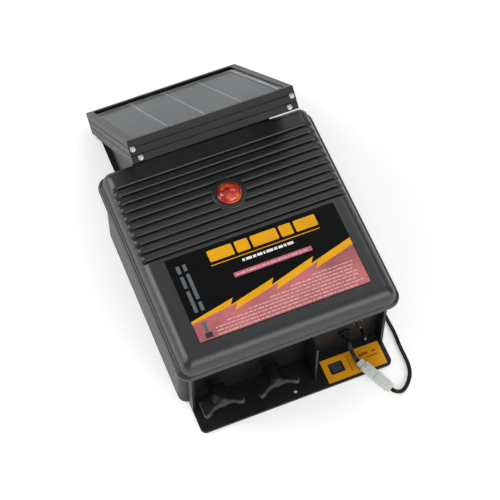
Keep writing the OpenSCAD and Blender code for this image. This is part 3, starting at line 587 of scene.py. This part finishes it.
def build_leads():
    """The connector's two halves and the two leads."""
    socket_parts = [shell_block(6.2, 5.4, 0.0, 5.6), shell_block(8.3, 6.6, 5.4, SOCKET_LENGTH),
                    shell_block(3.4, 0.8, 7.6, 15.6, y=3.75),
                    shell_block(6.8, 0.5, 2.0, 3.0, y=2.6)]
    socket = moulded("socket_shell", socket_parts, "nylon_white", "unit", 0.45,
                     transform=on_connector)
    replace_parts(socket, "connector_socket")
    start = SOCKET_LENGTH + 0.3
    plug_parts = [shell_block(8.6, 6.8, start, PLUG_LENGTH - 3.4),
                  shell_block(7.8, 6.2, PLUG_LENGTH - 3.5, PLUG_LENGTH),
                  shell_block(6.0, 4.2, start - 11.7, start + 0.5),
                  shell_block(0.8, 0.4, start + 1.0, PLUG_LENGTH - 4.2, x=-2.4, y=3.4),
                  shell_block(0.8, 0.4, start + 1.0, PLUG_LENGTH - 4.2, x=2.4, y=3.4)]
    plug = moulded("plug_shell", plug_parts, "nylon_white", "plug", 0.4, transform=on_connector)
    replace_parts(plug, "connector_plug")
    path, verts, faces = twin_lead(SUPPLY_ROUTE)
    supply = piece("supply_wire", verts, faces, "lead_jacket", smooth=50)
    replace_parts(supply, "supply_lead")
    path, verts, faces = twin_lead(SOLAR_ROUTE, (0.9, 0.43, 0))
    solar = piece("solar_wire", verts, faces, "lead_jacket", body=None, smooth=50)
    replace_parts(solar, "solar_lead")
    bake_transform(solar)


build_leads()

# ---------- front cover ----------

HALF_W = 104.5
COVER_H = 218.0
FACE_Z = 103.0
LENS_Y = 149.0
GROOVE_PITCH = 8.75
HALF_PITCH = GROOVE_PITCH / 2
GROOVES = [111.5 + GROOVE_PITCH * i for i in range(10)]
# height, inset at the sides and top, inset at the lower edge, corner radius
COVER_RINGS = [
    (103.0, 15.0, 12.4, 2.0), (102.9, 13.6, 11.0, 2.6), (102.55, 12.3, 9.7, 3.2),
    (101.9, 11.0, 8.4, 3.9), (100.9, 9.6, 7.0, 4.7), (99.7, 8.3, 5.7, 5.5),
    (98.3, 7.1, 4.5, 6.4), (96.5, 6.1, 3.5, 7.2), (94.2, 5.3, 2.6, 7.9), (91.6, 4.7, 1.9, 8.6),
    (88.8, 4.3, 1.5, 9.1), (86.6, 4.1, 1.4, 9.4), (85.4, 3.9, 1.6, 9.7),
    (84.7, 3.4, 1.8, 10.0), (84.5, 2.6, 1.6, 10.6),
    (84.3, 1.6, 1.1, 11.4), (83.8, 0.7, 0.5, 12.0), (83.0, 0.2, 0.15, 12.4),
    (81.8, 0.0, 0.0, 12.6), (80.6, 0.05, 0.05, 12.6), (79.8, 0.4, 0.4, 12.2),
    (79.3, 1.1, 1.1, 11.6), (79.2, 2.0, 2.0, 10.8), (79.2, 4.6, 4.2, 8.4),
    (84.0, 6.4, 4.8, 7.4), (92.0, 7.6, 5.4, 6.2)]


def smoothstep(a, b, x):
    """Rises from 0 at a to 1 at b."""
    t = min(1.0, max(0.0, (x - a) / (b - a)))
    return t * t * (3 - 2 * t)


def bell(x):
    """A smooth bump, 1 at x = 0 and nearly nothing past 2."""
    return 2.718 ** (-x ** 2)


def groove_depth(x, y):
    """How far the ribbed face lies under the flat one."""
    near = min(GROOVES, key=lambda g: abs(g - y))
    d = abs(y - near)
    outside = y < GROOVES[0] or y > GROOVES[-1]
    valley = 2.3 * bell(d / 1.05)
    crown = 0.0 if outside else 0.75 * max(0.0, 1 - d / HALF_PITCH) ** 2
    ends = smoothstep(7.2, 12.0, HALF_W - abs(x))
    boss = smoothstep(15.6, 16.8, sqrt(x * x + (y - LENS_Y) ** 2))
    tip = 0.0 if outside else 1.15 * max(0.0, 1 - (1 - d / HALF_PITCH) ** 2 * 2.2)
    tip *= bell((HALF_W - abs(x) - 10.2) / 1.9)
    return (valley + crown) * ends * boss - tip


def border(xs, ys):
    """Grid places round the edge, counter-clockwise from the lower left."""
    nx, ny = len(xs), len(ys)
    return ([(i, 0) for i in range(nx)] + [(nx - 1, j) for j in range(1, ny)]
            + [(i, ny - 1) for i in range(nx - 2, -1, -1)] + [(0, j) for j in range(ny - 2, 0, -1)])


def corner_rounded(x, y, low, high, r):
    """Moves a point on a rectangle's edge onto the same rectangle with round corners."""
    for cx, cy, sx, sy in ((low[0], low[1], 1, 1), (high[0], low[1], -1, 1),
                           (high[0], high[1], -1, -1), (low[0], high[1], 1, -1)):
        dx, dy = (x - cx) * sx, (y - cy) * sy
        if dx < r and dy < r:
            if dy <= 1e-6:
                a = 1.5 * pi - (1 - dx / r) * pi / 4
            else:
                a = pi + (1 - dy / r) * pi / 4
            return (cx + sx * (r + r * cos(a)), cy + sy * (r + r * sin(a)))
    return x, y


def build_cover():
    """The cover: a grid for the ribbed face, then rings down the side and round the rim."""
    z0, side0, end0, r0 = COVER_RINGS[0]
    x_in = HALF_W - side0
    y_low, y_high = end0, COVER_H - side0
    ends = [0, 1.4, 2.6, 3.8, 5, 6.4, 8, 10, 12.5, 15.5, 19, 24, 30, 37, 45, 54, 64]
    xs = sorted([-x_in + e for e in ends] + [x_in - e for e in ends]
                + [i * 1.1 for i in range(-18, 19)])
    steps = (-HALF_PITCH, -3.3, -2.5, -1.9, -1.45, -1.05, -0.7, -0.35, 0, 0.35, 0.7, 1.05, 1.45,
             1.9, 2.5, 3.3)
    ys = [y_low + e for e in (0, 1.4, 2.6, 3.8, 5, 6.4, 8, 10, 13, 17, 22, 28, 36, 46, 57, 68, 79,
                              88, 94, 98, 101)]
    ys = [y for y in ys if y < GROOVES[0] - 4.5]
    ys += [g + s for g in GROOVES for s in steps]
    ys += [GROOVES[-1] + HALF_PITCH] + [y_high - e for e in (8, 6.4, 5, 3.8, 2.6, 1.4, 0)
                                        if y_high - e > GROOVES[-1] + 4.6]
    nx, ny = len(xs), len(ys)
    edge = border(xs, ys)
    verts, faces, index = [], [], {}
    for j, y in enumerate(ys):
        for i, x in enumerate(xs):
            index[i, j] = len(verts)
            px, py = x, y
            if i in (0, nx - 1) or j in (0, ny - 1):
                px, py = corner_rounded(x, y, (-x_in, y_low), (x_in, y_high), r0)
            verts.append((px, py, z0 - groove_depth(px, py)))
    for j in range(ny - 1):
        for i in range(nx - 1):
            faces.append((index[i, j], index[i + 1, j], index[i + 1, j + 1], index[i, j + 1]))
    last = [index[e] for e in edge]
    for z, side, end, r in COVER_RINGS[1:]:
        low = (-HALF_W + side, end)
        high = (HALF_W - side, COVER_H - side)
        ring = []
        for i, j in edge:
            x = low[0] + (xs[i] + x_in) / (2 * x_in) * (high[0] - low[0])
            y = low[1] + (ys[j] - y_low) / (y_high - y_low) * (high[1] - low[1])
            x, y = corner_rounded(x, y, low, high, r)
            ring.append(len(verts))
            verts.append((x, y, z - (groove_depth(x, y) if z > 95 and r < 8 else 0)))
        for k in range(len(edge)):
            n = (k + 1) % len(edge)
            faces.append((last[n], last[k], ring[k], ring[n]))
        last = ring
    faces.append(tuple(last))
    cover = piece("cover_shell", verts, faces, "case_plastic", smooth=70)
    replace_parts(cover, "front_cover")


build_cover()


# ---------- lens ----------

def build_lens():
    """The red dome, hollow behind, and the raised collar round it."""
    r = 11.3
    dome = [(9.7 * cos(a), 1.2 + 5.0 * sin(a)) for a in (i * pi / 2 / 10 for i in range(1, 10))]
    profile = [(8.0, -9.0), (9.4, -9.0), (9.4, 0.0), (r, 0.0), (r, 0.9), (r - 0.2, 1.5),
               (r - 0.7, 1.9), (r - 1.2, 2.0)] + dome + [(0.3, 6.25), (0.3, 4.6), (3, 4.4),
                                                     (6, 3.2), (8.0, 0.8)]
    verts, faces = [], []
    turns = 64
    for rad, h in profile:
        verts += [(rad * cos(2 * pi * i / turns), LENS_Y + rad * sin(2 * pi * i / turns),
                   FACE_Z + h) for i in range(turns)]
    count = len(profile)
    for k in range(count):
        for i in range(turns):
            a, b = k * turns + i, k * turns + (i + 1) % turns
            c, d = ((k + 1) % count) * turns + (i + 1) % turns, ((k + 1) % count) * turns + i
            faces.append((a, b, c, d))
    lens = piece("lens_dome", verts, faces, "lens_red", smooth=40)
    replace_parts(lens, "signal_lens")
    collar = lathe([(12.0, -1.5), (11.9, 0.3), (12.2, 0.65), (12.8, 0.8), (14.2, 0.78),
                    (15.0, 0.5), (15.6, -0.1), (16.0, -1.2), (16.3, -2.8), (16.3, -3.4)],
                   (0, LENS_Y, FACE_Z), (0, 0, 1), 64)
    piece("lens_collar", *collar, "case_plastic", smooth=50)


build_lens()

# ---------- printed labels ----------

def dashes(x0, x1, y, height, first):
    """A row of small marks of uneven length."""
    lengths = (4.2, 2.4, 5.6, 3.1, 4.8, 1.8, 6.3, 2.9)
    row, x, k = [], x0, first
    while x + lengths[k % 8] < x1:
        row.append(box_outline(x, y, x + lengths[k % 8], y + height))
        x += lengths[k % 8] + 1.0
        k += 1
    return row


def printed(name, finish, outlines, z0, z1, slot="label_film"):
    """Flat inked shapes on a label."""
    return piece(name, *joined(slab(o, z0, z1) for o in outlines), finish, smooth=20, slot=slot)


def build_face_label():
    """Stand-ins for the print on the cover."""
    z = FACE_Z
    plate = printed("label_plate", "label_film", [rounded((-78.4, 20.2), (81.6, 106.2), 1.5)], z,
                    z + 0.16)
    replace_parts(plate, "face_label")
    printed("label_field", "ink_pink", [[(-77.8, 20.9), (81.0, 20.9), (81.0, 61.3), (0, 49.5),
                                         (-77.8, 40.0)]], z + 0.16, z + 0.19)
    printed("label_stripe", "ink_yellow", [
        [(-78.0, 42.1), (-36, 51), (-40, 45), (4, 56), (0, 50), (44, 62.5), (40, 56.5),
         (81.2, 68), (81.2, 61), (42, 50.5), (46, 56.5), (2, 44), (6, 50), (-38, 39),
         (-34, 45), (-78.0, 39.6)]], z + 0.19, z + 0.22)
    bars = [(-41, -18), (-15.5, -3), (-0.5, 24), (26.5, 38), (40.5, 61)]
    printed("label_bars", "ink_yellow",
            [rounded((a, 90), (b, 101.5), 1.2) for a, b in bars]
            + [box_outline(-42, 86.2, 60.5, 87.0)], z + 0.16, z + 0.2)
    printed("label_line", "ink_light", dashes(-14.6, 36.4, 80.6, 2.6, 1), z + 0.16, z + 0.2)
    printed("label_strip", "ink_rose", [box_outline(-26.7, 68.4, 46.4, 73.0)], z + 0.16, z + 0.19)
    printed("label_strip_marks", "ink_pale", dashes(-25, 45.4, 69.8, 1.5, 3), z + 0.19, z + 0.21)
    printed("label_column", "ink_grey",
            [rounded((x, y), (x + 3.2, y + h), 0.8) for x, y, h in
             ((-71.5, 49, 22), (-71.5, 74, 12), (-71.5, 89, 8), (-65.5, 49, 9), (-65.5, 61, 26),
              (-65.5, 90, 7))], z + 0.16, z + 0.19)
    rows = []
    for k in range(8):
        y = 45.4 - 3.3 * k
        rows += dashes(max(-60, (y - 38.5) * 6.4 - 8), 78 - 3 * (k % 3), y, 0.95, k)
    printed("label_rows", "ink_pale", rows, z + 0.19, z + 0.21)
    printed("label_mark_base", "ink_dark", [box_outline(-71, 22.6, -64.5, 27.6)], z + 0.19,
            z + 0.22)
    printed("label_mark_post", "ink_grey", [box_outline(-69.4, 27.6, -66.4, 35.5),
                                            box_outline(-70.4, 35.5, -65.4, 38.2)],
            z + 0.19, z + 0.22)


def build_control_label():
    """Stand-ins for the print beside the switch, and a painted shade line along a fold in its
    label.
    """
    z = 3.0
    plate = printed("control_plate", "control_film", [rounded((31, -14.8), (88.2, 8.8), 0.8)], z,
                    z + 0.18, "control_film")
    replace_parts(plate, "control_label")
    printed("control_panel", "ink_dark", [rounded((36.4, -7.7), (50, 3.2), 0.5)], z + 0.18,
            z + 0.22, "control_film")
    printed("control_rows", "ink_grey",
            [box_outline(37.8 + 0.4 * k, 1.0 - 2.1 * k, 48.2 - 1.3 * (k % 2), 1.8 - 2.1 * k)
             for k in range(4)], z + 0.22, z + 0.25, "control_film")
    # The brown strip at x 55.2 to 56 is a painted shade line along a fold in the label; the other
    # brown boxes are print.
    printed("control_marks_and_fold_shade", "ink_brown", [box_outline(55.2, -10.7, 56.0, 4.7),
                                           box_outline(66.5, 0.2, 75.5, 2.6),
                                           box_outline(79.2, 0.6, 82.4, 2.2),
                                           box_outline(72.5, -3.4, 83.8, -2.2)], z + 0.18,
            z + 0.21, "control_film")


build_face_label()
build_control_label()

# ---------- terminal knobs ----------

FENCE_X, GROUND_X, STUD_Z = -69.0, -17.0, 29.0
WING_TURN = radians(8)


def build_knob(name, stud_x, node, body):
    """A two-winged knob blended into one skin, with a bore for its insert and stud."""
    hub = lathe([(7.9, 10.0), (8.0, 9.4), (8.0, 2.0), (7.7, -4.0), (7.3, -6.8), (6.2, -8.4),
                 (4.4, -9.0), (0.3, -9.0)], (0, 0, 0), (0, 1, 0), 48)
    wing = [(3, 7), (9, 5.6), (18, 1), (19.5, -1), (19.5, -12), (17.6, -14), (14.6, -13.2),
            (9, -9.6), (3, -8.6)]
    parts = [hub]
    for side in (1, -1):
        outline = [(side * x, y) for x, y in wing]
        verts, faces = slab(outline, -4, 4)
        parts.append(([(x * cos(WING_TURN) - z * sin(WING_TURN), y,
                        x * sin(WING_TURN) + z * cos(WING_TURN)) for x, y, z in verts], faces))
    verts, faces = joined(parts)
    mesh = bpy.data.meshes.new(name)
    mesh.from_pydata([case(stud_x + x, y, STUD_Z + z) for x, y, z in verts], [], faces)
    bm = bmesh.new()
    bm.from_mesh(mesh)
    bmesh.ops.recalc_face_normals(bm, faces=bm.faces)
    bm.to_mesh(mesh)
    bm.free()
    obj = bpy.data.objects.new(name, mesh)
    bpy.context.scene.collection.objects.link(obj)
    blend = obj.modifiers.new("blend", "REMESH")
    blend.mode = "VOXEL"
    blend.voxel_size = 0.5 * MM
    ease = obj.modifiers.new("ease", "SMOOTH")
    ease.factor = 0.5
    ease.iterations = 6
    thin = obj.modifiers.new("thin", "DECIMATE")
    thin.ratio = 0.16
    baked(obj)
    bore = lathe([(4.7, 12.0), (4.7, -1.0), (3.4, -1.0), (3.4, -6.0)], (0, 0, 0), (0, 1, 0), 32)
    shape = ([tuple(v.co) for v in obj.data.vertices],
             [tuple(f.vertices) for f in obj.data.polygons])
    bpy.data.objects.remove(obj)
    bored = cut(shape, ([tuple(case(stud_x + x, y, STUD_Z + z)) for x, y, z in bore[0]], bore[1]))
    knob = piece(name, *bored, "knob_plastic", body=body, smooth=50, millimetres=False)
    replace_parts(knob, node)


build_knob("fence_wing_knob", FENCE_X, "fence_knob", "fence_wing")
build_knob("ground_wing_knob", GROUND_X, "ground_knob", "ground_wing")

# ---------- toggle switch ----------

def build_switch():
    """The threaded barrel with its body and tags, and the lever in its bushing."""
    x, z = 70.0, 41.0
    pitch = [(3.1 - (0.22 if k % 2 else 0.0), 20.5 - 0.35 * k) for k in range(31)]
    barrel = lathe([(3.1, 20.5)] + pitch + [(2.9, 9.6), (2.3, 9.5), (2.3, 12.5)], (x, 0, z),
                   (0, 1, 0), 32)
    body = block((x - 6.5, 20.5, z - 6.5), (x + 6.5, 32.5, z + 6.5))
    tags = [block((x + dx - 0.4, 32, z - 1.5), (x + dx + 0.4, 36, z + 1.5)) for dx in (-3, 3)]
    # The barrel takes steel darkened with painted shade.
    switch = piece("switch_barrel", *joined([barrel, body] + tags), "dark_steel", smooth=35,
                   slot="screw_steel")
    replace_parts(switch, "switch_body")
    tilt = radians(10)
    way = (0, -cos(tilt), -sin(tilt))
    lever = lathe([(0.3, -2.2), (1.3, -1.7), (2.0, -0.8), (2.15, 0.0), (1.9, 1.1), (1.15, 2.0),
                   (1.1, 3.0), (1.2, 7.0), (1.45, 11.5), (1.5, 12.6), (1.35, 13.2), (0.9, 13.7),
                   (0.25, 13.9)], (x, 12, z), way, 28)
    # The lever takes chrome darkened with painted shade.
    bat = piece("lever_bat", *lever, "lever_chrome", body="lever", smooth=60, slot="screw_steel")
    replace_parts(bat, "switch_lever")


build_switch()

# ---------- screws ----------

def build_screws():
    """The eight screws in the panel's end rails."""
    small = cross_screw(2.7, 1.4, 1.3, 12)
    heads = []
    for k, (side, (px, pn)) in enumerate((s, p) for s in (1, -1) for p in ((3.4, -8.4),
                                                                         (8, -17.4))):
        x = side * (PANEL_W / 2 - px)
        heads.append(placed(small, on_panel(x, 0, pn), panel_way(-1, 0), 0.3 + 0.9 * k))
        heads.append(placed(small, on_panel(x, PANEL_L, pn), panel_way(1, 0), 0.7 * k))
    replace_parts(piece("rail_cross_screws", *joined(heads), "screw_steel", smooth=35),
                "rail_screws")


build_screws()

# ---------- panel glass and edges ----------

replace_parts(moulded("glass_pane", [panel_box(75.5, 2.0, 206.0, -4.86, -1.9)], "panel_glass",
                    "unit", 0.2), "panel_glass")

# Radius of the eased edges of each CAD node that is otherwise kept as it is.
EASED = {
    "rear_housing": 0.5, "bracket_plate": 0.4, "bracket_arm_left": 0.4, "bracket_arm_right": 0.4,
    "panel_rail_front": 0.3, "panel_rail_rear": 0.3, "panel_rail_left": 0.3,
    "panel_rail_right": 0.3, "junction_box": 0.7, "switch_nut": 0.3, "stud_nuts": 0.4,
    "stud_washers": 0.15, "fence_washer": 0.15, "ground_washer": 0.15, "lead_grommet": 0.4,
    "arm_grommet": 0.3, "battery": 0.8, "battery_strap": 0.3, "transformer_core": 0.5,
    "heat_sink": 0.25, "thyristor": 0.3, "board_parts": 0.3, "circuit_board": 0.25}
EASED_BODY = {"fence_washer": "fence_clamp", "ground_washer": "ground_clamp"}
# The housing takes its plastic darkened with painted shade; the nuts and washers take steel
# darkened with painted shade.
EASED_FINISH = {"rear_housing": "shade_darkened_housing_plastic", "stud_nuts": "dark_steel",
                "stud_washers": "dark_steel", "fence_washer": "dark_steel",
                "ground_washer": "dark_steel"}

for node_name, width in EASED.items():
    softened(node_name, width, body=EASED_BODY.get(node_name, "unit"),
             finish=EASED_FINISH.get(node_name))
